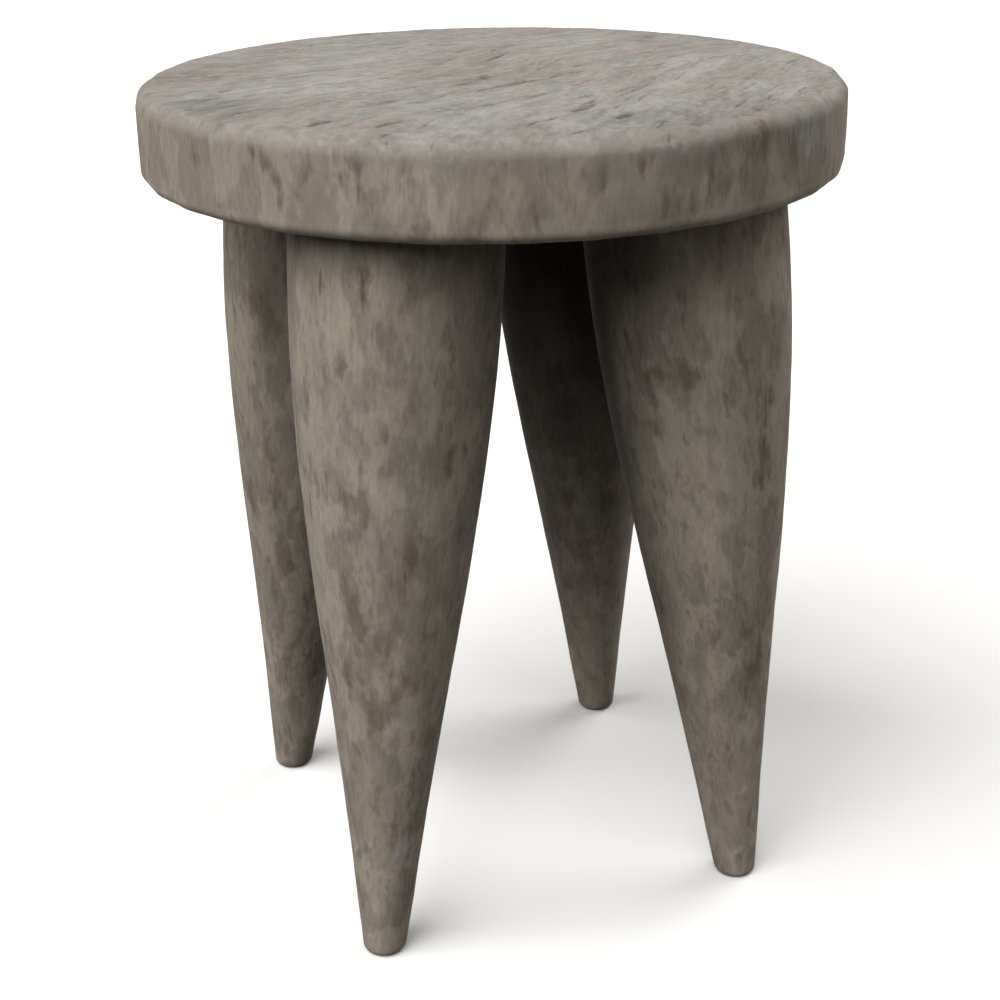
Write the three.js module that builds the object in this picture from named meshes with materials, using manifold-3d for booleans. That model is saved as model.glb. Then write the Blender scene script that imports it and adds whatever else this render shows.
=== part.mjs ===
// A carved wooden stool: a thick round seat on four stout legs that taper to small round feet.
// Seat and legs are cut from one block of wood, so the stool is one solid.
// Millimetres and degrees, +Z up, with the origin on the floor under the middle of the seat.
import * as THREE from "three";
import { mergeVertices } from "three/addons/utils/BufferGeometryUtils.js";
import Module from "manifold-3d";

// The stool as a whole
const stoolHeight = 462;
const seatDiameter = 380;
const seatThickness = 49;

// The rim of the seat: flats left by the blade, between a worn upper edge and a worn lower one
const rimFlats = 32;
const firstRimCorner = 6.25;
const upperEdgeRadius = 9.2;
const lowerEdgeRadius = 8.1;
const seatEdgeSteps = 5;

// The legs lean outwards, and their level cross-sections are circles
const legCount = 4;
const firstLegAngle = 45;
const legAxisAtFloor = 154.2;
const legAxisAtSeat = 109.5;
const footRadius = 12.2;
const footEdgeRadius = 3.8;
const footEdgeSteps = 3;
const legSides = 28;
const legRings = 16;

// Radius of a leg above its foot, at a few heights
const legStations = [
  { height: 20, radius: 14.7 },
  { height: 62, radius: 19.7 },
  { height: 150, radius: 31.6 },
  { height: 230, radius: 42.9 },
  { height: 290, radius: 49.9 },
  { height: 331, radius: 53.3 },
  { height: 364, radius: 54.7 },
  { height: 393, radius: 55 },
  { height: 413, radius: 54.3 },
];

// How far a leg is carried up into the seat before the two are joined
const legRoot = 20;

const seatUnderside = stoolHeight - seatThickness;
const seatRadius = seatDiameter / 2;
const legLean = (legAxisAtSeat - legAxisAtFloor) / seatUnderside;

const toRadians = THREE.MathUtils.degToRad;

const wood = new THREE.MeshStandardMaterial({
  color: "#968d82",
  roughness: 0.82,
  metalness: 0,
});

// Points of a quarter-round edge, from one angle to another about the centre of the round
function roundedEdge(centreRadius, centreHeight, radius, fromAngle, toAngle, steps) {
  const points = [];
  for (let step = 0; step <= steps; step += 1) {
    const angle = toRadians(fromAngle + ((toAngle - fromAngle) * step) / steps);
    points.push(
      new THREE.Vector2(
        centreRadius + radius * Math.cos(angle),
        centreHeight + radius * Math.sin(angle),
      ),
    );
  }
  return points;
}

// A profile of radius and height, turned about the Z axis
function turned(profile, sides) {
  const geometry = new THREE.LatheGeometry(profile, sides);
  geometry.rotateX(Math.PI / 2);
  return geometry;
}

function seatGeometry() {
  const profile = [
    new THREE.Vector2(0, seatUnderside),
    ...roundedEdge(
      seatRadius - lowerEdgeRadius,
      seatUnderside + lowerEdgeRadius,
      lowerEdgeRadius,
      -90,
      0,
      seatEdgeSteps,
    ),
    ...roundedEdge(
      seatRadius - upperEdgeRadius,
      stoolHeight - upperEdgeRadius,
      upperEdgeRadius,
      0,
      90,
      seatEdgeSteps,
    ),
    new THREE.Vector2(0, stoolHeight),
  ];
  const seat = turned(profile, rimFlats);
  seat.rotateZ(toRadians(firstRimCorner));
  return seat;
}

// The side of a leg: a smooth curve from the top of the rounded foot through the stations
function legSide() {
  const stations = [{ height: footEdgeRadius, radius: footRadius }, ...legStations];
  const curve = new THREE.CatmullRomCurve3(
    stations.map(({ height, radius }) => new THREE.Vector3(radius, height, 0)),
  );
  return curve.getSpacedPoints(legRings).map(({ x, y }) => new THREE.Vector2(x, y));
}

function legGeometry(angle) {
  const side = legSide();
  const top = side[side.length - 1];
  const profile = [
    new THREE.Vector2(0, 0),
    ...roundedEdge(footRadius - footEdgeRadius, footEdgeRadius, footEdgeRadius, -90, 0, footEdgeSteps),
    ...side.slice(1),
    new THREE.Vector2(top.x, seatUnderside + legRoot),
    new THREE.Vector2(0, seatUnderside + legRoot),
  ];
  const leg = turned(profile, legSides);
  leg.applyMatrix4(new THREE.Matrix4().makeShear(0, 0, 0, 0, legLean, 0));
  leg.translate(legAxisAtFloor, 0, 0);
  leg.rotateZ(toRadians(angle));
  return leg;
}

const wasm = await Module();
wasm.setup();

// A closed geometry as a solid that can be joined to another
function solidFrom(geometry) {
  geometry.deleteAttribute("normal");
  geometry.deleteAttribute("uv");
  const merged = mergeVertices(geometry, 1e-3);
  return new wasm.Manifold(
    new wasm.Mesh({
      numProp: 3,
      vertProperties: merged.attributes.position.array,
      triVerts: new Uint32Array(merged.index.array),
    }),
  );
}

function geometryFrom(solid) {
  const { vertProperties, triVerts } = solid.getMesh();
  const indexed = new THREE.BufferGeometry();
  indexed.setAttribute("position", new THREE.BufferAttribute(vertProperties, 3));
  indexed.setIndex(new THREE.BufferAttribute(triVerts, 1));
  const faceted = indexed.toNonIndexed();
  faceted.computeVertexNormals();
  return faceted;
}

let carved = solidFrom(seatGeometry());
for (let leg = 0; leg < legCount; leg += 1) {
  const angle = firstLegAngle + (leg * 360) / legCount;
  carved = carved.add(solidFrom(legGeometry(angle)));
}

const stool = new THREE.Mesh(geometryFrom(carved), wood);
stool.name = "stool";

const part = new THREE.Group();
part.add(stool);

export default part;
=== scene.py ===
import math

import bmesh
import bpy
from mathutils import Euler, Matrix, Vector


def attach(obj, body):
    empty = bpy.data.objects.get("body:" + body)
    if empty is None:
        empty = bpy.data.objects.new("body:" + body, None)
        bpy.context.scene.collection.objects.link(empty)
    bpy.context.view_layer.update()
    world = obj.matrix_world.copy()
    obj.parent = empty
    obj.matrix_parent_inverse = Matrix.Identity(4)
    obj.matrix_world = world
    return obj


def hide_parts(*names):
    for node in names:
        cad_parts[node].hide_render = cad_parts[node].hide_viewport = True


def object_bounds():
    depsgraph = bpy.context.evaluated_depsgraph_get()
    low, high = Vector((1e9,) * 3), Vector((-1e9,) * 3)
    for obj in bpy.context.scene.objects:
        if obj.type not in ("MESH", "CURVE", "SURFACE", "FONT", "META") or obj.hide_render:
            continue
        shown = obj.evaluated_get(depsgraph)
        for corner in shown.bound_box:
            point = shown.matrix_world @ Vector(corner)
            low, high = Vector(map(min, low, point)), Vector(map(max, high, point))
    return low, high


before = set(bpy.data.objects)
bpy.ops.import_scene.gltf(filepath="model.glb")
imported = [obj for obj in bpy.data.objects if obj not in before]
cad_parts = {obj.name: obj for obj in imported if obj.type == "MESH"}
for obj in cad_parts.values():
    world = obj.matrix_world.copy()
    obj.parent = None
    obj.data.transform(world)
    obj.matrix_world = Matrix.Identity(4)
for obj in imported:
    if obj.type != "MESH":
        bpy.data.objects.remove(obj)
cadLow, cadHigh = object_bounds()
print("frame loaded: the solid is", [round(side, 4) for side in cadHigh - cadLow], "m")

mm = 0.001
tiny = 1e-6  # keeps a division by zero away
quarterTurn = math.pi / 2


# Small helpers that build node trees. A Wire is a number socket that sums like a number.
class Wire:
    def __init__(self, tree, socket):
        self.tree = tree
        self.socket = socket

    def __add__(self, other):
        return maths(self.tree, "ADD", self, other)

    def __radd__(self, other):
        return maths(self.tree, "ADD", other, self)

    def __sub__(self, other):
        return maths(self.tree, "SUBTRACT", self, other)

    def __rsub__(self, other):
        return maths(self.tree, "SUBTRACT", other, self)

    def __mul__(self, other):
        return maths(self.tree, "MULTIPLY", self, other)

    def __truediv__(self, other):
        return maths(self.tree, "DIVIDE", self, other)

    def __rtruediv__(self, other):
        return maths(self.tree, "DIVIDE", other, self)


def feed(tree, value, socket):
    if isinstance(value, Wire):
        tree.links.new(value.socket, socket)
    elif isinstance(value, bpy.types.NodeSocket):
        tree.links.new(value, socket)
    else:
        socket.default_value = value


def addNode(tree, kind, inputs=None, **settings):
    node = tree.nodes.new(kind)
    for name, value in settings.items():
        setattr(node, name, value)
    for name, value in (inputs or {}).items():
        feed(tree, value, node.inputs[name])
    return node


def maths(tree, operation, *values):
    node = addNode(tree, "ShaderNodeMath", operation=operation)
    for index, value in enumerate(values):
        feed(tree, value, node.inputs[index])
    return Wire(tree, node.outputs[0])


def unsigned(wire):
    return maths(wire.tree, "ABSOLUTE", wire)


def sine(wire):
    return maths(wire.tree, "SINE", wire)


def cosine(wire):
    return maths(wire.tree, "COSINE", wire)


# 0 up to low and 1 from high on, with a straight or a soft climb between; high may be the smaller one
def climb(wire, low, high, soft=True):
    node = addNode(wire.tree, "ShaderNodeMapRange", interpolation_type="SMOOTHSTEP" if soft else "LINEAR")
    feed(wire.tree, wire, node.inputs["Value"])
    feed(wire.tree, low, node.inputs["From Min"])
    feed(wire.tree, high, node.inputs["From Max"])
    return Wire(wire.tree, node.outputs["Result"])


# a where share is 0, b where share is 1
def between(share, a, b):
    tree = share.tree
    node = addNode(tree, "ShaderNodeMix", data_type="FLOAT")
    feed(tree, share, node.inputs["Factor"])
    feed(tree, a, node.inputs["A"])
    feed(tree, b, node.inputs["B"])
    return Wire(tree, node.outputs["Result"])


def betweenVectors(share, a, b):
    node = addNode(share.tree, "ShaderNodeMix", data_type="VECTOR")
    feed(share.tree, share, node.inputs["Factor"])
    feed(share.tree, a, node.inputs[4])
    feed(share.tree, b, node.inputs[5])
    return node.outputs[1]


def vectorOf(tree, x, y, z):
    return addNode(tree, "ShaderNodeCombineXYZ", {"X": x, "Y": y, "Z": z}).outputs[0]


def partsOf(tree, vector):
    node = addNode(tree, "ShaderNodeSeparateXYZ", {"Vector": vector})
    return [Wire(tree, node.outputs[axis]) for axis in ("X", "Y", "Z")]


def vectorMaths(tree, operation, first, second=(0, 0, 0), output=0):
    node = addNode(tree, "ShaderNodeVectorMath", operation=operation)
    feed(tree, first, node.inputs[0])
    feed(tree, second, node.inputs[1])
    return node.outputs[output]


# How many cells of this size, in metres, a point counts along each axis
def counted(tree, place, cell):
    return vectorMaths(tree, "MULTIPLY", place, tuple(1 / side for side in cell))


def distanceFromAxis(tree, x, y):
    return maths(tree, "SQRT", x * x + y * y)


# Noise over counted cells; each shift is another piece of the same noise
def noise(tree, cells, detail=2.0, roughness=0.5, shift=0.0, colour=False):
    offset = (shift, shift * 1.7, shift * 2.3)
    if isinstance(shift, Wire):
        offset = vectorOf(tree, *offset)
    node = addNode(
        tree,
        "ShaderNodeTexNoise",
        {
            "Vector": vectorMaths(tree, "ADD", cells, offset),
            "Scale": 1.0,
            "Detail": detail,
            "Roughness": roughness,
        },
    )
    return node.outputs["Color"] if colour else Wire(tree, node.outputs["Fac"])


# A Geometry Nodes tree with a named number input for each size
def newTree(name, inputs):
    tree = bpy.data.node_groups.new(name, "GeometryNodeTree")
    tree.interface.new_socket(name="Geometry", in_out="INPUT", socket_type="NodeSocketGeometry")
    for label, value in inputs.items():
        socket = tree.interface.new_socket(name=label, in_out="INPUT", socket_type="NodeSocketFloat")
        socket.default_value = value
    tree.interface.new_socket(name="Geometry", in_out="OUTPUT", socket_type="NodeSocketGeometry")
    return tree, tree.nodes.new("NodeGroupInput"), tree.nodes.new("NodeGroupOutput")


# What a user would change on the seat
seat = {
    "radius": 190 * mm,
    "thickness": 49 * mm,
    "upperEdge": 9.2 * mm,
    "lowerEdge": 8.1 * mm,
    "rimFlats": 32,
    "firstRimCorner": 6.25,  # degrees
    "cornerRound": 1.6,  # degrees either side of a corner
    "flatsFrom": 0.8,  # shares of the radius between which the top's round plan turns into the rim's flats
    "flatsWhole": 0.95,
    "topCells": 180,
    "rimRows": 28,
    "upperEdgeRows": 9,
    "lowerEdgeRows": 6,
    "undersideCells": 44,
    "undersideShare": 0.95,  # of the flat underside that the coarser cells fill
    "weld": 0.02 * mm,  # points closer than this become one
    "sharpFrom": 55,  # degrees between two faces
    "seed": 2.0,
}

# What a user would change on the legs
legs = {
    "count": 4,
    "firstAngle": 45,  # degrees
    "axisAtFloor": 154.2 * mm,
    "axisAtSeat": 109.5 * mm,
    "footRadius": 12.2 * mm,
    "footEdge": 3.8 * mm,
    "root": 20 * mm,
    "sides": 72,
    "rows": 132,
    "footRows": 6,
    # height above the floor and radius there, in millimetres
    "stations": [
        (20, 14.7),
        (62, 19.7),
        (150, 31.6),
        (230, 42.9),
        (290, 49.9),
        (331, 53.3),
        (364, 54.7),
        (393, 55),
        (413, 54.3),
        (440, 51.5),
    ],
}

stoolHeight = cadHigh.z
underside = stoolHeight - seat["thickness"]


# Where a point of a square patch comes to lie in a disc of radius 1, so that the seat has no pole
def squareToDisc(tree, x, y):
    alongX = maths(tree, "GREATER_THAN", unsigned(x) + tiny, unsigned(y))
    reach = between(alongX, y, x)
    other = between(alongX, x, y)
    safe = reach + between(maths(tree, "LESS_THAN", unsigned(reach), tiny), 0.0, tiny)
    swing = other / safe * (math.pi / 4)
    angle = between(alongX, quarterTurn - swing, swing)
    return reach * cosine(angle), reach * sine(angle)


# A mesh with each point moved to this place
def setPlace(tree, geometry, x, y, z):
    place = vectorOf(tree, x, y, z)
    return addNode(tree, "GeometryNodeSetPosition", {"Geometry": geometry, "Position": place}).outputs[0]


def position(tree):
    return tree.nodes.new("GeometryNodeInputPosition").outputs[0]


# The seat: a square block's top and sides bent round the rim's profile, and a coarser underside
def seatMesh(tree, sizes):
    radius, thickness, height = sizes["Seat Radius"], sizes["Seat Thickness"], sizes["Height"]
    upperEdge, lowerEdge = sizes["Upper Edge"], sizes["Lower Edge"]

    block = addNode(
        tree,
        "GeometryNodeMeshCube",
        {
            "Size": (2, 2, 2),
            "Vertices X": seat["topCells"] + 1,
            "Vertices Y": seat["topCells"] + 1,
            "Vertices Z": seat["rimRows"] + 1,
        },
    )
    facing = partsOf(tree, tree.nodes.new("GeometryNodeInputNormal").outputs[0])[2]
    opened = addNode(tree, "GeometryNodeDeleteGeometry", domain="FACE", mode="ALL")
    feed(tree, block.outputs["Mesh"], opened.inputs["Geometry"])
    feed(tree, maths(tree, "LESS_THAN", facing, -0.5), opened.inputs["Selection"])

    x, y, z = partsOf(tree, position(tree))
    discX, discY = squareToDisc(tree, x, y)
    down = (1 - z) / 2
    upperShare = seat["upperEdgeRows"] / seat["rimRows"]
    lowerShare = 1 - seat["lowerEdgeRows"] / seat["rimRows"]
    upper = climb(down, 0.0, upperShare, soft=False) * quarterTurn
    wall = climb(down, upperShare, lowerShare, soft=False)
    lower = climb(down, lowerShare, 1.0, soft=False) * quarterTurn
    ringRadius = radius - upperEdge * (1 - sine(upper)) - lowerEdge * (1 - cosine(lower))
    ringHeight = height - upperEdge * (1 - cosine(upper)) - wall * (thickness - upperEdge - lowerEdge)
    ringHeight = ringHeight - lowerEdge * sine(lower)
    shell = setPlace(tree, opened.outputs["Geometry"], discX * ringRadius, discY * ringRadius, ringHeight)

    flatRadius = radius - lowerEdge
    innerRadius = flatRadius * seat["undersideShare"]
    patch = addNode(
        tree,
        "GeometryNodeMeshGrid",
        {
            "Size X": 2.0,
            "Size Y": 2.0,
            "Vertices X": seat["undersideCells"] + 1,
            "Vertices Y": seat["undersideCells"] + 1,
        },
    )
    x, y, z = partsOf(tree, position(tree))
    discX, discY = squareToDisc(tree, x, y)
    plate = setPlace(tree, patch.outputs["Mesh"], discX * innerRadius, discY * innerRadius, z)
    circles = addNode(tree, "GeometryNodeJoinGeometry")
    for cells, ring in ((seat["topCells"], flatRadius), (seat["undersideCells"], innerRadius)):
        circle = addNode(tree, "GeometryNodeCurvePrimitiveCircle", {"Resolution": 4 * cells})
        feed(tree, ring, circle.inputs["Radius"])
        tree.links.new(circle.outputs["Curve"], circles.inputs["Geometry"])
    band = addNode(tree, "GeometryNodeFillCurve", {"Curve": circles.outputs["Geometry"]})
    lid = addNode(tree, "GeometryNodeJoinGeometry")
    tree.links.new(plate, lid.inputs["Geometry"])
    tree.links.new(band.outputs["Mesh"], lid.inputs["Geometry"])
    turned = addNode(tree, "GeometryNodeFlipFaces", {"Mesh": lid.outputs["Geometry"]})
    raised = addNode(tree, "GeometryNodeSetPosition", {"Geometry": turned.outputs["Mesh"]})
    feed(tree, vectorOf(tree, 0.0, 0.0, height - thickness), raised.inputs["Offset"])

    whole = addNode(tree, "GeometryNodeJoinGeometry")
    tree.links.new(shell, whole.inputs["Geometry"])
    tree.links.new(raised.outputs["Geometry"], whole.inputs["Geometry"])
    closed = addNode(
        tree,
        "GeometryNodeMergeByDistance",
        {"Geometry": whole.outputs["Geometry"], "Distance": seat["weld"]},
    )
    return cutFlats(tree, closed.outputs["Geometry"], radius)


# The blade's flats round the rim, with their corners a little worn
def cutFlats(tree, geometry, radius):
    step = 2 * math.pi / seat["rimFlats"]
    x, y, z = partsOf(tree, position(tree))
    angle = maths(tree, "ARCTAN2", y, x) - math.radians(seat["firstRimCorner"])
    fromCorner = maths(tree, "PINGPONG", angle + 4 * math.pi, step / 2)  # two turns on, so never below 0
    softened = maths(tree, "SMOOTH_MAX", fromCorner, 0.0, math.radians(seat["cornerRound"]))
    shrink = math.cos(step / 2) / cosine(step / 2 - softened)
    atRim = climb(distanceFromAxis(tree, x, y), radius * seat["flatsFrom"], radius * seat["flatsWhole"])
    share = 1 - (1 - shrink) * atRim
    return setPlace(tree, geometry, x * share, y * share, z)


# One leg: a round bar drawn in to the foot, leaning out from the stool's axis, and its copies
def legMeshes(tree, sizes):
    top = sizes["Height"] - sizes["Seat Thickness"]
    footEdge = sizes["Foot Edge"]
    bar = addNode(
        tree,
        "GeometryNodeMeshCylinder",
        {"Vertices": legs["sides"], "Side Segments": legs["rows"], "Radius": 1.0, "Depth": 2.0},
        fill_type="TRIANGLE_FAN",
    )
    x, y, z = partsOf(tree, position(tree))
    up = (z + 1) / 2
    footShare = legs["footRows"] / legs["rows"]
    foot = climb(up, 0.0, footShare, soft=False) * quarterTurn
    side = climb(up, footShare, 1.0, soft=False)
    height = footEdge * (1 - cosine(foot)) + side * (top + legs["root"] - footEdge)
    radius = legRadius(tree, height) - footEdge * (1 - sine(foot))
    lean = (sizes["Leg Axis at Seat"] - sizes["Leg Axis at Floor"]) / top
    outwards = x * radius + sizes["Leg Axis at Floor"] + lean * height
    placed = setPlace(tree, bar.outputs["Mesh"], outwards, y * radius, height)
    points = addNode(tree, "GeometryNodeMeshLine", {"Count": legs["count"], "Offset": (0, 0, 0)})
    index = Wire(tree, tree.nodes.new("GeometryNodeInputIndex").outputs[0])
    turn = index * (2 * math.pi / legs["count"]) + math.radians(legs["firstAngle"])
    copies = addNode(
        tree,
        "GeometryNodeInstanceOnPoints",
        {"Points": points.outputs["Mesh"], "Instance": placed, "Rotation": vectorOf(tree, 0.0, 0.0, turn)},
    )
    realized = addNode(tree, "GeometryNodeRealizeInstances", {"Geometry": copies.outputs["Instances"]})
    return realized.outputs["Geometry"]


# A leg's radius at a height, on a smooth curve through the stations
def legRadius(tree, height):
    widest = 60  # millimetres at the top of the curve's own scale
    stations = [(legs["footEdge"] / mm, legs["footRadius"] / mm), *legs["stations"]]
    tallest = stations[-1][0]
    node = addNode(tree, "ShaderNodeFloatCurve", {"Value": height / (tallest * mm)})
    points = node.mapping.curves[0].points
    for index, (high, wide) in enumerate(stations):
        spot = (high / tallest, wide / widest)
        if index < 2:
            points[index].location = spot
        else:
            points.new(*spot)
    node.mapping.update()
    return Wire(tree, node.outputs["Value"]) * (widest * mm)


# What a user would change in the worn grain of the seat's top
grain = {
    "angle": 33,  # degrees from the stool's X axis
    "swing": -0.15,  # per metre, how fast the grain bends round
    "fan": 2.0,  # per metre, how much steeper it runs towards the front
    "driftCell": 120 * mm,
    "drift": 16 * mm,
    "ruffleCell": 22 * mm,
    "ruffle": 2.6 * mm,
    "ruffleShift": 2.9,
    "tornPush": 0.3,
    "furrowPush": 0.1,
    "edgePush": 0.08,  # how far the patina near the edge keeps the slits closed
    "waverCell": 9 * mm,
    "waver": 3 * mm,
    "waverShift": 1.9,
    # the long furrows: both ends (x, y) and half the width, in millimetres, then how dark
    "furrows": [
        (-20, -44, 25, -23, 3.2, 0.95),
        (27, -19, 57, -10, 2.6, 0.85),
        (-4, 9, -10, -24, 3.4, 0.75),
        (11, 36, 34, 72, 2.8, 0.7),
        (25, 21, 40, 18, 3.0, 0.8),
        (76, -34, 115, 15, 2.2, 0.65),
        (-64, -98, -24, -87, 2.6, 0.8),
        (-26, -88, 27, -60, 2.2, 0.85),
        (-106, -78, -56, -49, 3.6, 0.7),
        (-129, -108, -110, -96, 3.2, 0.85),
        (-102, -125, -77, -108, 3.0, 0.8),
        (-6, -128, 20, -104, 3.6, 0.65),
        (-33, -146, -13, -133, 2.8, 0.85),
        (10, -147, 23, -138, 3.4, 0.9),
        (-28, -179, -6, -165, 2.6, 0.8),
        (-151, -3, -139, 9, 3.2, 0.8),
    ],
}

# What a user would change in the upright grain of the rim and the legs
fibre = {
    "ruffleCell": 14 * mm,
    "ruffle": 1.1 * mm,
    "ruffleShift": 6.3,
    "stainPush": 0.3,
    "checkPush": 0.3,
    "hairEverywhere": 0.2,  # the share of the finest hairs that isn't gathered in groups
    "darkFrom": {"fleck": 1.3, "pale": 0.4, "streak": 0.4},  # the noises that make up the brown stains
    # brown stains: the middle (x, y, z), half the width and half the height in millimetres, then how dark
    "stains": [
        (-156, -107, 451, 7, 12, 0.6),
        (-150, -115, 447, 4, 4, 1),
        (-138, -128, 453, 5, 9, 0.7),
        (-148, -119, 440, 3, 3, 0.9),
        (-125, -142, 444, 4, 3, 1),
        (-117, -149, 455, 5, 7, 0.6),
        (-98, -162, 451, 5, 8, 0.6),
        (-68, -176, 424, 6, 8, 0.7),
        (-3, -189, 454, 9, 5, 0.85),
        (68, -176, 450, 7, 12, 0.7),
        (101, -160, 443, 4, 5, 1),
        (-117, -126, 271, 6, 9, 1),
        (-124, -119, 222, 5, 14, 0.9),
        (-107, -130, 199, 6, 12, 0.95),
        (-92, -135, 246, 5, 11, 0.9),
        (-71, -135, 333, 4, 7, 1),
        (-114, -125, 163, 5, 14, 0.8),
        (59, -130, 323, 9, 6, 0.9),
        (106, -127, 138, 5, 18, 0.9),
        (-122, -121, 222, 5, 9, 0.95),
        (-117, -124, 209, 5, 9, 1),
        (-111, -128, 198, 5, 9, 1),
        (-101, -132, 212, 4, 10, 0.95),
        (-97, -134, 228, 5, 10, 0.9),
        (-124, -116, 180, 4, 8, 0.7),
        (-119, -121, 168, 5, 8, 0.85),
        (-112, -126, 157, 5, 7, 0.85),
        (-103, -129, 166, 4, 9, 0.6),
        (-95, -131, 177, 4, 9, 0.55),
        (100, -135, 309, 4, 12, 0.9),
        (101, -134, 289, 3, 16, 1),
        (103, -134, 271, 3, 9, 1),
        (-122, 47, 342, 6, 18, 0.85),
        (-121, 47, 316, 6, 12, 0.8),
        (-119, 61, 221, 6, 16, 0.85),
        (-117, 71, 164, 6, 16, 0.9),
        (48, 56, 287, 5, 11, 0.9),
        (56, 55, 267, 5, 10, 0.95),
        (63, 54, 250, 5, 9, 1),
        (70, 44, 272, 5, 10, 0.9),
        (74, 38, 295, 5, 10, 0.85),
        (78, 59, 198, 2, 5, 1),
        (-131, 84, 201, 4, 17, 0.9),
    ],
    "areaPush": 0.5,
    # broad areas that are paler than the rest, and others that are darker, listed in the same way; some are
    # the wood's own tone, others are painted light and painted shade where the seat and legs shade each
    # other
    "paleAreasAndPaintedLight": [
        (-60, 50, 462, 80, 30, 0.3),
        (-141, -126, 440, 40, 30, 0.2),
        (-84, -170, 436, 30, 22, 1),
        (0, -187, 452, 60, 7, 1),
        (-42, -184, 445, 22, 14, 0.8),
        (170, -86, 438, 24, 22, 0.4),
        (-122, -116, 372, 28, 50, 0.3),
        (-104, -129, 384, 12, 18, 0.6),
        (-134, -94, 374, 10, 30, 0.7),
        (-112, -128, 285, 16, 26, 0.8),
        (-100, -134, 262, 9, 46, 0.8),
        (-75, -132, 240, 9, 22, 0.8),
        (-99, -131, 180, 15, 75, 1),
        (-112, -123, 100, 15, 50, 1),
        # painted light: lightens the seat's shadow on the front right leg's top
        (70, -133, 378, 42, 44, 1),
        (78, -132, 245, 20, 70, 0.6),
        (108, -122, 60, 22, 90, 0.8),
        (86, -124, 98, 12, 32, 0.8),
        (52, 48, 310, 30, 80, 0.7),
        (95, 90, 60, 20, 80, 0.8),
    ],
    "darkAreasAndPaintedShade": [
        (-160, -34, 462, 40, 26, 0.8),
        # this row and the one at (72, -172) are painted shade on the seat's front right edge, where the
        # rounding turns from the light
        (88, -145, 462, 42, 15, 1),
        (30, -170, 462, 52, 6, 0.9),
        (-30, -158, 462, 34, 10, 0.6),
        (72, -172, 457, 26, 12, 1),
        (98, -163, 436, 26, 22, 0.3),
        (10, -189, 424, 60, 13, 0.8),
        # this row and the next three are painted shade near the seat, on the front left leg's right side and
        # on the front right leg's left side
        (-45, -122, 386, 16, 50, 0.7),
        (30, -90, 340, 12, 70, 0.5),
        (42, -112, 300, 22, 75, 0.4),
        (57, -112, 200, 18, 70, 0.8),
        (130, -80, 330, 18, 90, 0.5),
        (-121, 50, 290, 18, 90, 0.2),
        (-107, 76, 95, 18, 75, 1),
    ],
    # patches bleached to silver, listed in the same way
    "bleached": [
        (109, -155, 450, 13, 13, 1),
        (128, -141, 446, 6, 16, 0.9),
        (-101, -125, 74, 6, 9, 0.9),
    ],
    # drying checks, listed in the same way
    "checks": [
        (-155, -109, 452, 1.5, 6, 0.9),
        (-159, -103, 422, 1.2, 5, 1),
        (-110, -154, 423, 1.0, 8, 0.95),
        (92, -166, 449, 1.4, 8, 0.95),
        (110, -154, 450, 1.5, 8, 0.95),
        (130, -138, 442, 1.5, 9, 1),
        (102, -159, 424, 1.2, 5, 1),
        (-126, -108, 388, 1.2, 14, 0.9),
        (-121, -113, 396, 1.1, 9, 0.85),
        (-110, -125, 386, 1.4, 19, 0.95),
        (-135, -98, 268, 1.2, 15, 0.85),
        (103, -134, 290, 1.3, 24, 1),
    ],
}

# The broad noises, with their cells in millimetres; each shift is another piece of the same
# noise. Band, cloud and torn run along the top's grain, and blotch along the fibres of rim and legs.
broadNoise = {
    "band": {"along": "grainPlace", "cell": (95, 18, 30), "detail": 3.0, "roughness": 0.55, "shift": 1.3},
    "cloud": {"along": "grainPlace", "cell": (90, 45, 60), "detail": 2.0, "roughness": 0.5, "shift": 12.4},
    "torn": {"along": "grainPlace", "cell": (60, 45, 60), "detail": 1.5, "roughness": 0.5, "shift": 8.2},
    "blotch": {"along": "fibrePlace", "cell": (24, 24, 36), "detail": 3.0, "roughness": 0.55, "shift": 2.1},
}

# The fine noises, with their cells in millimetres: on the seat's top along the grain, across it
# and downwards, and on the rim and legs across the fibres twice and upwards.
fineNoise = {
    "patch": {"top": (24, 12, 12), "side": (21, 21, 40), "detail": 3.0, "roughness": 0.55, "shift": 3.7},
    "fleck": {"top": (12, 5.5, 8), "side": (8.5, 8.5, 22), "detail": 3.0, "roughness": 0.58, "shift": 7.4},
    "pale": {"top": (7, 3.6, 6), "side": (5, 5, 13), "detail": 2.5, "roughness": 0.55, "shift": 11.1},
    "streak": {"top": (12, 3.1, 6), "side": (3.4, 3.4, 14), "detail": 3.0, "roughness": 0.6, "shift": 14.8},
    "hair": {"top": (5, 1.3, 4), "side": (1.5, 1.5, 7), "detail": 1.5, "roughness": 0.55, "shift": 18.5},
    "slit": {"top": (48, 3.8, 8), "side": (2.4, 2.4, 26), "detail": 2.0, "roughness": 0.55, "shift": 22.2},
}

# Where each pattern starts and where it is whole, and how much a finer noise frays its outline
spread = {
    "area": (1.3, 0.2),
    "stain": (2.2, 0.0),
    "furrow": (1.6, 0.6),
    "core": (1.1, 0.6),
    "slit": (0.6, 0.72),
    "lip": (0.52, 0.58),
    "halo": (2.4, 0.6),
    "hue": (0.38, 0.62),
    "broken": (0.43, 0.57),
    "flecked": (0.45, 0.55),
    "topDark": (0.55, 0.65),
    "patched": (0.45, 0.55),
    "sideDark": (1.11, 1.36),
    "paled": (0.44, 0.6),
    "streaked": (0.46, 0.54),
    "grouped": (0.42, 0.62),
    "nearCheck": (1.4, 0.4),
    "check": (0.68, 0.8),
    "bleached": (1.1, 0.7),
}
fray = {"core": -3, "halo": -3, "hue": 0.6, "patched": 0.2, "streaked": 0.3, "bleached": -2.5}

# How deep the wear is cut
relief = {
    "band": 0.9 * mm,
    "topStreak": 0.45 * mm,
    "slit": 0.8 * mm,
    "blotch": 0.7 * mm,
    "sideStreak": 0.3 * mm,
    "floorClear": (1 * mm, 16 * mm),  # heights between which the feet go from smooth to worn
}

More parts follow.
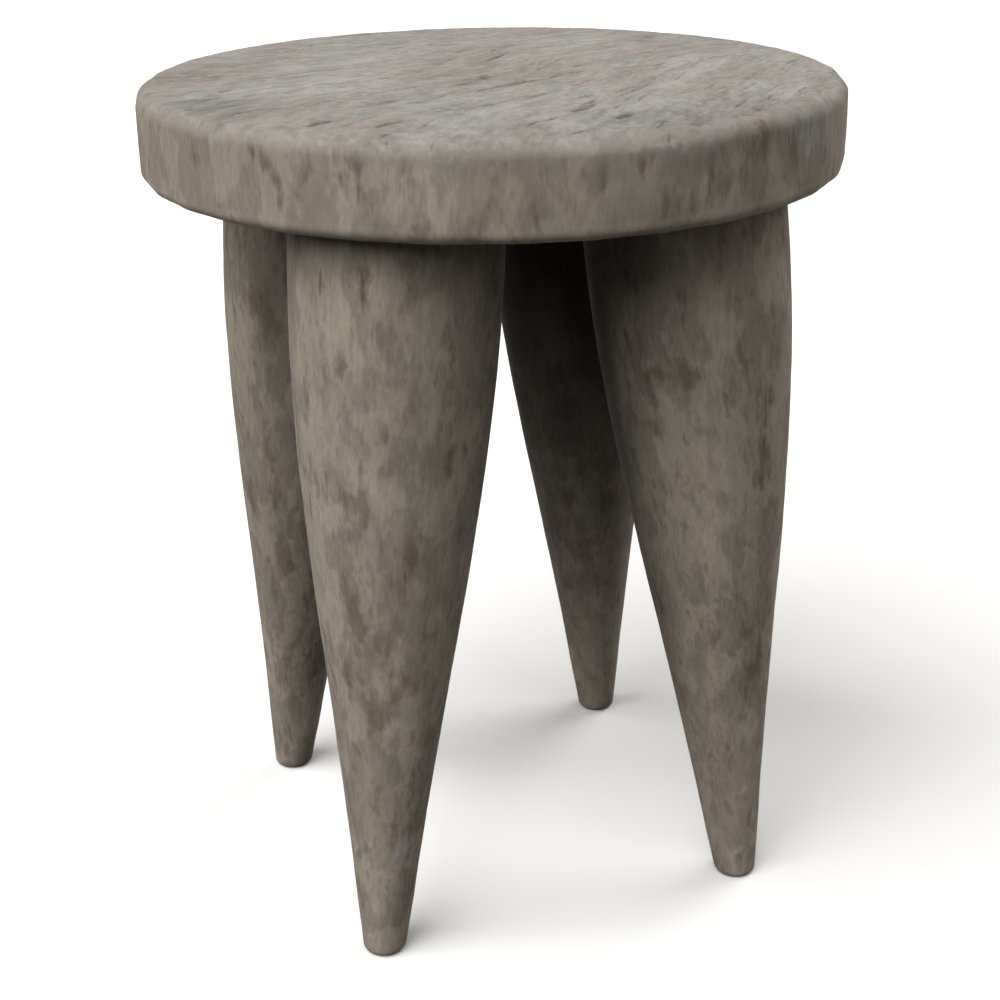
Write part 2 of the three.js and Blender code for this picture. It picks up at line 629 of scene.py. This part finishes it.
# Where the top gives way to the rim, along a ragged line
topEdge = {
    "blend": (6 * mm, 2 * mm),  # below the top
    "raggedCell": (12 * mm, 12 * mm, 14 * mm),
    "raggedDetail": 3.0,
    "raggedRoughness": 0.6,
    "raggedShift": 7.7,
    "raggedBy": 24 * mm,
    "raggedFrom": (168 * mm, 184 * mm),  # from the stool's axis
    "areaRaise": 5 * mm,
    "patinaRaggedBy": 50 * mm,
    "patinaFrom": (163 * mm, 185 * mm),
}

# Painted shade: the legs' inner faces, the underside and the gaps between the legs are coloured darker where
# the seat and the legs shade each other, and all legs are a little darker in tone. The feet are lighter,
# partly worn and partly painted light. A pair is where the dark starts and where it is whole.
paintedShade = {
    "facing": (-0.15, 0.55),  # how far a leg's face looks towards the stool's axis
    "facingHeight": (60 * mm, 220 * mm),
    "faces": 0.46,
    "deepFacing": (0.0, 0.5),
    "deepHeight": (190 * mm, 370 * mm),
    "deepReach": (175 * mm, 125 * mm),  # on the underside, from the stool's axis
    "deep": 0.82,
    "gapWidth": (70 * mm, 38 * mm),  # from the middle of the gap between two legs
    "gapHeight": (170 * mm, 290 * mm),
    "gapTop": (390 * mm, 340 * mm),
    "gap": 0.23,
    "frontStart": (-10 * mm, -40 * mm),
    "frontWidth": (54 * mm, 30 * mm),
    "front": 0.4,
    "legs": 0.05,
    "feetHeight": (110 * mm, 20 * mm),
    # the feet's lighter colour is partly wear and partly painted light
    "feetWornAndLit": 0.08,  # how much lighter the feet have worn
    "joint": (1.5 * mm, 0.3 * mm),  # below the underside
}

# What a user would change in the colours: the tints, and how far each pattern lightens or darkens them
weathering = {
    "silver": "918e88",
    "warmGrey": "8c857d",
    "edge": "8a847c",
    "beige": "968c7e",
    "grey": "8b8175",
    "brown": "766a5d",
    "bleached": "959290",
    "topTone": {
        "band": 0.52,
        "broken": 0.16,
        "flecked": 0.16,
        "topDark": -0.1,
        "pale": 0.4,
        "streak": 0.24,
        "lip": -0.04,
        "crevice": -0.21,
        "halo": -0.07,
    },
    "sideTone": {
        "blotch": 0.5,
        "patched": 0.1,
        "flecked": 0.1,
        "sideDark": -0.17,
        "paled": 0.08,
        "streaked": 0.07,
        "streak": 0.29,
        "groupedHair": 0.32,
        "check": -0.4,
    },
    "patinaShare": 0.8,
    "creviceShare": 0.5,
    "bleachedShare": 0.55,
    "upperEdgeShare": 0.6,
    "rimCalm": 0.3,
    "edgeCalm": 0.4,
    "upperEdge": (10 * mm, 6 * mm),  # below the top
    "lowerEdge": 0.55,
    "lowerEdgeFrom": (0.5 * mm, 2 * mm),  # above the underside
    "lowerEdgeTo": (10 * mm, 4 * mm),
    "roughness": 0.92,
    "bandShine": 0.2,
    "blotchShine": 0.15,
    "specular": 0.3,
    "paintedShadeDull": 0.2,
    "bump": 0.3,
    "bumpDepth": 0.5 * mm,
    "hairBump": 0.35,
}


# A vector turned about the stool's axis
def turnFlat(tree, vector, degrees):
    node = addNode(tree, "ShaderNodeVectorRotate", {"Vector": vector, "Axis": (0, 0, 1)})
    node.inputs["Angle"].default_value = math.radians(degrees)
    return node.outputs["Vector"]


# A place pushed about by noise, this far at most
def pushed(tree, place, cell, reach, shift):
    colour = noise(tree, counted(tree, place, (cell,) * 3), 1.0, shift=shift, colour=True)
    centred = vectorMaths(tree, "SUBTRACT", colour, (0.5, 0.5, 0.5))
    return vectorMaths(tree, "ADD", place, vectorMaths(tree, "MULTIPLY", centred, (2 * reach,) * 3))


# How far a point lies from the nearest of some oval marks: 0 in the middle and 1 at the edge,
# and more where the mark is a faint one
def nearestMark(tree, place, marks):
    nearest = 9.0  # farther off than any pattern starts
    for centre, reach, turn, darkness in marks:
        offset = vectorMaths(tree, "SUBTRACT", place, centre)
        if turn:
            offset = turnFlat(tree, offset, -turn)
        share = vectorMaths(tree, "MULTIPLY", offset, tuple(1 / side for side in reach))
        distance = Wire(tree, vectorMaths(tree, "LENGTH", share, output=1))
        nearest = maths(tree, "MINIMUM", distance + (1 - darkness), nearest)
    return nearest


# Marks as nearestMark reads them: centre, reach, turn and how dark
def furrowMarks():
    for x1, y1, x2, y2, halfWidth, darkness in grain["furrows"]:
        centre = ((x1 + x2) / 2 * mm, (y1 + y2) / 2 * mm, 0)
        reach = (math.dist((x1, y1), (x2, y2)) / 2 * mm, halfWidth * mm, 1)
        yield centre, reach, math.degrees(math.atan2(y2 - y1, x2 - x1)), darkness


def sideMarks(rows):
    for x, y, z, halfWidth, halfHeight, darkness in rows:
        yield (x * mm, y * mm, z * mm), (halfWidth * mm, halfWidth * mm, halfHeight * mm), 0, darkness


# The legs lean, and their fibres lean with them
def alongLegs(tree, place):
    x, y, z = partsOf(tree, place)
    lean = (legs["axisAtSeat"] - legs["axisAtFloor"]) / underside
    onLeg = maths(tree, "LESS_THAN", z, underside - 0.1 * mm)
    back = z * onLeg * (-lean * math.sqrt(0.5))  # along X and Y alike, since the legs stand between them
    sideX = maths(tree, "SIGN", x)
    sideY = maths(tree, "SIGN", y)
    return vectorOf(tree, x + sideX * back, y + sideY * back, z)


# How much painted shade darkens the legs' inner faces, the underside and the gaps between the legs, and how
# much the feet are painted lighter, partly as wear
def paintedShadeAt(tree, place):
    normal = tree.nodes.new("GeometryNodeInputNormal").outputs[0]
    normalX, normalY = partsOf(tree, normal)[:2]
    x, y, height = partsOf(tree, place)
    reach = distanceFromAxis(tree, x, y) + tiny
    onSeat = climb(height, *(underside - depth for depth in paintedShade["joint"]))
    below = maths(tree, "LESS_THAN", height, underside + 1 * mm)
    inward = (x * normalX + y * normalY) / reach * (onSeat - 1)
    faces = climb(inward, *paintedShade["facing"]) * climb(height, *paintedShade["facingHeight"])
    downward = onSeat * climb(reach, *paintedShade["deepReach"])
    deep = maths(tree, "MAXIMUM", climb(inward, *paintedShade["deepFacing"]), downward)
    deep = deep * climb(height, *paintedShade["deepHeight"])

    ahead = climb(y, *paintedShade["frontStart"])
    rising = climb(height, *paintedShade["gapHeight"])
    aside = maths(tree, "MINIMUM", unsigned(x) + ahead, unsigned(y))  # a metre off in the front gap
    gap = climb(aside, *paintedShade["gapWidth"]) * rising * climb(height, *paintedShade["gapTop"])
    front = climb(unsigned(x), *paintedShade["frontWidth"]) * rising * ahead

    # painted shade: the colour is darkened where the seat and the legs shade the inner faces, the underside
    # and the gaps
    kept = (1 - faces * below * paintedShade["faces"]) * (1 - deep * below * paintedShade["deep"])
    kept = kept * (1 - gap * paintedShade["gap"]) * (1 - front * below * paintedShade["front"])
    # the feet are painted lighter, partly as wear and partly as painted light
    feet = climb(height, *paintedShade["feetHeight"]) * paintedShade["feetWornAndLit"]
    return 1 - kept * (1 - below * paintedShade["legs"]) * (1 + feet)


# Broad patterns: Geometry Nodes works them out and leaves them on the mesh, where the wood reads them
def broadFields(tree, place, seed):
    bent = pushed(tree, place, grain["driftCell"], grain["drift"], seed)
    bent = pushed(tree, bent, grain["ruffleCell"], grain["ruffle"], seed + grain["ruffleShift"])
    along, across, up = partsOf(tree, turnFlat(tree, bent, -grain["angle"]))
    bow = across * (along * grain["fan"] + 1) - along * along * grain["swing"]
    grainPlace = vectorOf(tree, along, bow, up)
    upright = alongLegs(tree, place)
    fibrePlace = pushed(tree, upright, fibre["ruffleCell"], fibre["ruffle"], seed + fibre["ruffleShift"])
    wavering = pushed(tree, place, grain["waverCell"], grain["waver"], seed + grain["waverShift"])
    level = vectorMaths(tree, "MULTIPLY", wavering, (1, 1, 0))
    # pale and dark areas: the wood's own tone together with painted light and painted shade
    paler = climb(nearestMark(tree, place, sideMarks(fibre["paleAreasAndPaintedLight"])), *spread["area"])
    darker = climb(nearestMark(tree, place, sideMarks(fibre["darkAreasAndPaintedShade"])), *spread["area"])
    area = paler - darker

    x, y, height = partsOf(tree, place)
    reach = distanceFromAxis(tree, x, y)
    ragged = noise(
        tree,
        counted(tree, place, topEdge["raggedCell"]),
        topEdge["raggedDetail"],
        topEdge["raggedRoughness"],
        shift=seed + topEdge["raggedShift"],
    )
    ragged = ragged - 0.5
    raised = ragged * topEdge["raggedBy"] + area * topEdge["areaRaise"]
    fields = {
        "grainPlace": grainPlace,
        "fibrePlace": fibrePlace,
        "furrow": nearestMark(tree, level, furrowMarks()),
        "stain": nearestMark(tree, place, sideMarks(fibre["stains"])),
        "bleached": nearestMark(tree, place, sideMarks(fibre["bleached"])),
        "raggedHeight": height + raised * climb(reach, *topEdge["raggedFrom"]),
        "edgePatina": climb(reach + ragged * topEdge["patinaRaggedBy"], *topEdge["patinaFrom"]),
        "paintedShade": paintedShadeAt(tree, place),
    }
    for name, kind in broadNoise.items():
        cells = counted(tree, fields[kind["along"]], tuple(side * mm for side in kind["cell"]))
        fields[name] = noise(tree, cells, kind["detail"], kind["roughness"], shift=seed + kind["shift"])
    for name in ("band", "blotch"):
        fields[name] = fields[name] + area * fibre["areaPush"]
    return fields


# How far a finer noise pushes a pattern's outline in or out
def frayed(fields, name, by):
    return (fields[by] - 0.5) * fray[name]


# The fine noises on one place: along the grain on the seat's top, and along the fibres elsewhere
def fineFields(tree, broad, names, seed):
    fields = dict(broad)
    low, high = topEdge["blend"]
    fields["onTop"] = climb(broad["raggedHeight"], stoolHeight - low, stoolHeight - high)
    above = maths(tree, "GREATER_THAN", broad["raggedHeight"], stoolHeight - (low + high) / 2)
    woodPlace = betweenVectors(above, broad["fibrePlace"], broad["grainPlace"])
    for name in names:
        kind = fineNoise[name]
        onSide, onTop = (tuple(1 / (side * mm) for side in kind[face]) for face in ("side", "top"))
        cells = vectorMaths(tree, "MULTIPLY", woodPlace, betweenVectors(above, onSide, onTop))
        fields[name] = noise(tree, cells, kind["detail"], kind["roughness"], shift=seed + kind["shift"])
    opened = fields["slit"] + (broad["torn"] - 0.5) * grain["tornPush"]
    opened = opened + climb(broad["furrow"], *spread["furrow"]) * grain["furrowPush"]
    opened = opened - broad["edgePatina"] * grain["edgePush"]
    core = climb(broad["furrow"] + frayed(fields, "core", "slit"), *spread["core"])
    fields["crevice"] = maths(tree, "MAXIMUM", climb(opened, *spread["slit"]), core)
    fields["lip"] = climb(opened, *spread["lip"])
    return fields


# Wear on the carved form, always cut inwards, so that nothing stands proud of the block
def wornDepth(tree, fields, place):
    topDepth = (
        (1 - fields["band"]) * relief["band"]
        + (1 - fields["streak"]) * relief["topStreak"]
        + fields["crevice"] * relief["slit"]
    )
    sideDepth = (1 - fields["blotch"]) * relief["blotch"] + (1 - fields["streak"]) * relief["sideStreak"]
    height = partsOf(tree, place)[2]
    return between(fields["onTop"], sideDepth, topDepth) * climb(height, *relief["floorClear"])


# A pattern left on the mesh's points, under its own name
def keepField(tree, geometry, name, field):
    kind = "FLOAT" if isinstance(field, Wire) else "FLOAT_VECTOR"
    node = addNode(tree, "GeometryNodeStoreNamedAttribute", data_type=kind, domain="POINT")
    feed(tree, geometry, node.inputs["Geometry"])
    feed(tree, field, node.inputs["Value"])
    node.inputs["Name"].default_value = name
    return node.outputs["Geometry"]


def makeStool(material):
    sizes = {
        "Height": stoolHeight,
        "Seat Radius": seat["radius"],
        "Seat Thickness": seat["thickness"],
        "Upper Edge": seat["upperEdge"],
        "Lower Edge": seat["lowerEdge"],
        "Leg Axis at Floor": legs["axisAtFloor"],
        "Leg Axis at Seat": legs["axisAtSeat"],
        "Foot Edge": legs["footEdge"],
        "Wear": 1.0,
        "Seed": seat["seed"],
    }
    tree, given, result = newTree("carvedStool", sizes)
    wires = {name: Wire(tree, given.outputs[name]) for name in sizes}
    joined = addNode(tree, "GeometryNodeMeshBoolean", operation="UNION", solver="MANIFOLD")
    tree.links.new(seatMesh(tree, wires), joined.inputs["Mesh 2"])
    tree.links.new(legMeshes(tree, wires), joined.inputs["Mesh 2"])
    geometry = addNode(tree, "GeometryNodeSetShadeSmooth", {"Geometry": joined.outputs["Mesh"]}).outputs[0]
    place = position(tree)
    broad = broadFields(tree, place, wires["Seed"])
    for name, field in broad.items():
        geometry = keepField(tree, geometry, name, field)
    fine = fineFields(tree, broad, ("streak", "slit"), wires["Seed"])
    inwards = wornDepth(tree, fine, place) * wires["Wear"] * -1
    normal = tree.nodes.new("GeometryNodeInputNormal").outputs[0]
    push = addNode(tree, "ShaderNodeVectorMath", {"Vector": normal, "Scale": inwards}, operation="SCALE")
    worn = addNode(tree, "GeometryNodeSetPosition", {"Geometry": geometry, "Offset": push.outputs[0]})
    real = addNode(tree, "GeometryNodeRealizeInstances", {"Geometry": worn.outputs["Geometry"]})
    clad = addNode(tree, "GeometryNodeSetMaterial", {"Geometry": real.outputs[0], "Material": material})
    tree.links.new(clad.outputs["Geometry"], result.inputs["Geometry"])
    return plainObject("carved_stool", tree, sizes)


# What the tree makes at these sizes, as an object with a plain mesh and no modifier
def plainObject(name, tree, sizes):
    block = bpy.data.objects.new("carvingBlock", bpy.data.meshes.new("carvingBlock"))
    bpy.context.scene.collection.objects.link(block)
    modifier = block.modifiers.new("carving", "NODES")
    modifier.node_group = tree
    for item in tree.interface.items_tree:
        if item.in_out == "INPUT" and item.name in sizes:
            modifier[item.identifier] = sizes[item.name]
    carved = bpy.data.meshes.new_from_object(block.evaluated_get(bpy.context.evaluated_depsgraph_get()))
    bpy.data.objects.remove(block)
    carved.set_sharp_from_angle(angle=math.radians(seat["sharpFrom"]))
    plain = bpy.data.objects.new(name, carved)
    bpy.context.scene.collection.objects.link(plain)
    return plain


# A paint-chart colour as the shader's own linear numbers
def tint(hexCode):
    parts = [int(hexCode[place : place + 2], 16) / 255 for place in (0, 2, 4)]
    linear = [part / 12.92 if part <= 0.04045 else ((part + 0.055) / 1.055) ** 2.4 for part in parts]
    return (*linear, 1)


def mixColour(share, a, b):
    tree = share.tree
    node = addNode(tree, "ShaderNodeMix", data_type="RGBA")
    feed(tree, share, node.inputs["Factor"])
    feed(tree, a, node.inputs[6])
    feed(tree, b, node.inputs[7])
    return node.outputs[2]


# Patterns whose middle is one half; the others' own is nothing
swinging = ("band", "blotch", "patched", "broken", "flecked", "pale", "paled", "streak", "streaked")


# 1 plus each pattern's own share of light or dark
def toneOf(fields, amounts):
    tone = 1.0
    for name, amount in amounts.items():
        middle = 0.5 if name in swinging else 0
        tone = (fields[name] - middle) * amount + tone
    return tone


# A colour made this many times as light
def toned(tree, colour, tone):
    node = addNode(tree, "ShaderNodeVectorMath", {"Vector": colour, "Scale": tone}, operation="SCALE")
    return node.outputs[0]


# The broad patterns that the mesh carries
def readFields(tree):
    fields = {}
    for name in ("grainPlace", "fibrePlace"):
        node = addNode(tree, "ShaderNodeAttribute", attribute_name=name, attribute_type="GEOMETRY")
        fields[name] = node.outputs["Vector"]
    for name in (*broadNoise, "furrow", "stain", "bleached", "raggedHeight", "edgePatina", "paintedShade"):
        node = addNode(tree, "ShaderNodeAttribute", attribute_name=name, attribute_type="GEOMETRY")
        fields[name] = Wire(tree, node.outputs["Fac"])
    return fields


def topColour(tree, fields):
    fields["broken"] = climb(fields["patch"], *spread["broken"])
    fields["topDark"] = climb(fields["fleck"], *spread["topDark"])
    fields["halo"] = climb(fields["furrow"] + frayed(fields, "halo", "pale"), *spread["halo"])
    hue = climb(fields["cloud"] + frayed(fields, "hue", "patch"), *spread["hue"])
    colour = mixColour(hue, tint(weathering["silver"]), tint(weathering["warmGrey"]))
    patina = fields["edgePatina"] * weathering["patinaShare"]
    colour = mixColour(patina, colour, tint(weathering["edge"]))
    colour = mixColour(fields["crevice"] * weathering["creviceShare"], colour, tint(weathering["brown"]))
    return toned(tree, colour, toneOf(fields, weathering["topTone"]))


def sideColour(tree, fields, place):
    dark = climb(fields["stain"], *spread["stain"], soft=False) * fibre["stainPush"]
    for name, amount in fibre["darkFrom"].items():
        dark = dark + fields[name] * amount
    fields["sideDark"] = climb(dark, *spread["sideDark"], soft=False)
    fields["patched"] = climb(fields["patch"] + frayed(fields, "patched", "pale"), *spread["patched"])
    fields["paled"] = climb(fields["pale"], *spread["paled"])
    fields["streaked"] = climb(fields["streak"] + frayed(fields, "streaked", "hair"), *spread["streaked"])
    everywhere = fibre["hairEverywhere"]
    grouped = climb(fields["torn"], *spread["grouped"]) * (1 - everywhere) + everywhere
    fields["groupedHair"] = (fields["hair"] - 0.5) * grouped
    nearCheck = climb(nearestMark(tree, place, sideMarks(fibre["checks"])), *spread["nearCheck"])
    fields["check"] = climb(fields["slit"] + nearCheck * fibre["checkPush"], *spread["check"])
    colour = mixColour(fields["patched"], tint(weathering["grey"]), tint(weathering["beige"]))
    bleached = climb(fields["bleached"] + frayed(fields, "bleached", "pale"), *spread["bleached"])
    colour = mixColour(bleached * weathering["bleachedShare"], colour, tint(weathering["bleached"]))
    colour = mixColour(fields["sideDark"], colour, tint(weathering["brown"]))

    upperEdge = climb(fields["raggedHeight"], *(stoolHeight - depth for depth in weathering["upperEdge"]))
    colour = mixColour(upperEdge * weathering["upperEdgeShare"], colour, tint(weathering["edge"]))
    fromBelow = partsOf(tree, place)[2] - underside
    lowerEdge = climb(fromBelow, *weathering["lowerEdgeFrom"]) * climb(fromBelow, *weathering["lowerEdgeTo"])
    onRim = climb(fromBelow, -1 * mm, 1 * mm)
    calm = onRim * weathering["rimCalm"] + upperEdge * weathering["edgeCalm"]
    tone = (toneOf(fields, weathering["sideTone"]) - 1) * (1 - calm) + 1
    # painted shade under the seat and between the legs darkens the colour here
    tone = tone * (1 - fields["paintedShade"]) * (1 + lowerEdge * weathering["lowerEdge"])
    return toned(tree, colour, tone)


def makeWood():
    material = bpy.data.materials.new("weatheredWood")
    material.use_nodes = True
    tree = material.node_tree
    shader = tree.nodes["Principled BSDF"]
    place = addNode(tree, "ShaderNodeTexCoord").outputs["Object"]
    fields = fineFields(tree, readFields(tree), fineNoise, seat["seed"])
    fields["flecked"] = climb(fields["fleck"], *spread["flecked"])
    onTop = fields["onTop"]
    colour = mixColour(onTop, sideColour(tree, fields, place), topColour(tree, fields))
    feed(tree, colour, shader.inputs["Base Color"])
    shine = between(
        onTop, fields["blotch"] * weathering["blotchShine"], fields["band"] * weathering["bandShine"]
    )
    feed(tree, weathering["roughness"] - shine, shader.inputs["Roughness"])
    specular = weathering["specular"] - fields["paintedShade"] * weathering["paintedShadeDull"]
    feed(tree, specular, shader.inputs["Specular IOR Level"])

    height = fields["hair"] * weathering["hairBump"] + fields["streak"] - fields["crevice"] * onTop
    bump = addNode(tree, "ShaderNodeBump", {"Height": height})
    bump.inputs["Strength"].default_value = weathering["bump"]
    bump.inputs["Distance"].default_value = weathering["bumpDepth"]
    feed(tree, bump.outputs["Normal"], shader.inputs["Normal"])
    return material


# How many triangles a mesh has, and how many edges that don't join two faces
def countSkin(mesh):
    skin = bmesh.new()
    skin.from_mesh(mesh)
    triangles = sum(len(face.verts) - 2 for face in skin.faces)
    openEdges = sum(1 for edge in skin.edges if len(edge.link_faces) != 2)
    skin.free()
    return triangles, openEdges


wood = makeWood()
print("wood mixed")
stool = makeStool(wood)
triangles, openEdges = countSkin(stool.data)
print("stool carved:", triangles, "triangles,", openEdges, "open edges")

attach(stool, "root")
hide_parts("stool")

# What a user would change in the studio, in metres
stage = {
    "floorSize": 60.0,
    "wallReach": 29.0,
    "wallHeight": 14.0,
    "wallSides": 64,
    "wallGlow": 1.15,
    "colour": "f4f3f0",
    "roughness": 0.9,
    "specular": 0.1,
}


# A pale sheet that sends no colour back onto the stool
def addBackdrop(name, corners, faces):
    paint = bpy.data.materials.new(name + "Paint")
    paint.use_nodes = True
    shader = paint.node_tree.nodes["Principled BSDF"]
    shader.inputs["Base Color"].default_value = tint(stage["colour"])
    shader.inputs["Roughness"].default_value = stage["roughness"]
    shader.inputs["Specular IOR Level"].default_value = stage["specular"]
    mesh = bpy.data.meshes.new(name)
    mesh.from_pydata(corners, [], faces)
    mesh.materials.append(paint)
    backdrop = bpy.data.objects.new(name, mesh)
    bpy.context.scene.collection.objects.link(backdrop)
    backdrop.visible_diffuse = False
    return backdrop, shader


def makeFloor():
    half = stage["floorSize"] / 2
    corners = [(-half, -half, 0), (half, -half, 0), (half, half, 0), (-half, half, 0)]
    addBackdrop("studioFloor", corners, [(0, 1, 2, 3)])


# A wall all round and far off, for low views: it glows, but lights nothing
def makeWall():
    sides = stage["wallSides"]
    corners = []
    faces = []
    for side in range(sides):
        angle = 2 * math.pi * side / sides
        x, y = math.cos(angle) * stage["wallReach"], math.sin(angle) * stage["wallReach"]
        corners += [(x, y, 0), (x, y, stage["wallHeight"])]
        after = (side + 1) % sides
        faces.append((2 * side, 2 * side + 1, 2 * after + 1, 2 * after))
    wall, shader = addBackdrop("studioWall", corners, faces)
    shader.inputs["Base Color"].default_value = (0, 0, 0, 1)
    shader.inputs["Emission Color"].default_value = tint(stage["colour"])
    shader.inputs["Emission Strength"].default_value = stage["wallGlow"]
    wall.active_material.cycles.emission_sampling = "NONE"
    wall.visible_glossy = False
    wall.visible_shadow = False


# What a user would change in the light
light = {
    # angles in degrees: side is to the right of the camera, height above the horizon, softness across
    "lamps": {
        "keyLight": {"side": -52, "height": 49, "softness": 65, "strength": 4.0},
        "fillLight": {"side": 30, "height": 34, "softness": 55, "strength": 0.6},
        "backLight": {"side": 125, "height": 35, "softness": 50, "strength": 1.65},
    },
    "sky": 0.04,
    "skyFrom": (0.4, 0.75),  # how high the sky starts to shine, and where it is at its full strength
}

# What a user would change in the camera; the angles are in degrees, the lens in millimetres
camera = {
    "azimuth": -19.25,
    "elevation": 22.29,
    "distance": 1061.4 * mm,
    "lookHeight": 213.4 * mm,
    "lookRight": 1.4 * mm,
    "lens": 64.8,
    "sensor": 36,
    "roll": -0.829,
    "seesTo": 200,  # metres
}


# Unit vector towards something seen at these angles from the stool
def directionFrom(azimuth, elevation):
    aside = math.radians(azimuth)
    up = math.radians(elevation)
    return Vector((math.sin(aside) * math.cos(up), -math.cos(aside) * math.cos(up), math.sin(up)))


def makeLight():
    for name, lamp in light["lamps"].items():
        sun = bpy.data.objects.new(name, bpy.data.lights.new(name, "SUN"))
        bpy.context.scene.collection.objects.link(sun)
        sun.data.energy = lamp["strength"]
        sun.data.angle = math.radians(lamp["softness"])
        towards = directionFrom(camera["azimuth"] + lamp["side"], lamp["height"])
        sun.rotation_euler = towards.to_track_quat("Z", "Y").to_euler()

    world = bpy.data.worlds.new("studio")
    bpy.context.scene.world = world
    world.use_nodes = True
    tree = world.node_tree
    look = addNode(tree, "ShaderNodeTexCoord").outputs["Generated"]
    upward = climb(partsOf(tree, look)[2], *light["skyFrom"])
    feed(tree, upward * light["sky"], tree.nodes["Background"].inputs["Strength"])
    tree.nodes["Background"].inputs["Color"].default_value = (1, 1, 1, 1)


def makeCamera():
    back = directionFrom(camera["azimuth"], camera["elevation"])
    across = math.radians(camera["azimuth"])
    target = Vector((math.cos(across), math.sin(across), 0)) * camera["lookRight"]
    target.z = camera["lookHeight"]
    eye = bpy.data.objects.new("camera", bpy.data.cameras.new("camera"))
    bpy.context.scene.collection.objects.link(eye)
    eye.data.lens = camera["lens"]
    eye.data.sensor_width = camera["sensor"]
    eye.data.clip_end = camera["seesTo"]
    eye.location = target + back * camera["distance"]
    turn = back.to_track_quat("Z", "Y").to_matrix() @ Euler((0, 0, math.radians(camera["roll"]))).to_matrix()
    eye.rotation_euler = turn.to_euler()
    bpy.context.scene.camera = eye


makeFloor()
makeWall()
makeLight()
makeCamera()
bpy.context.scene.view_settings.view_transform = "Standard"
print("floor, light and camera set")
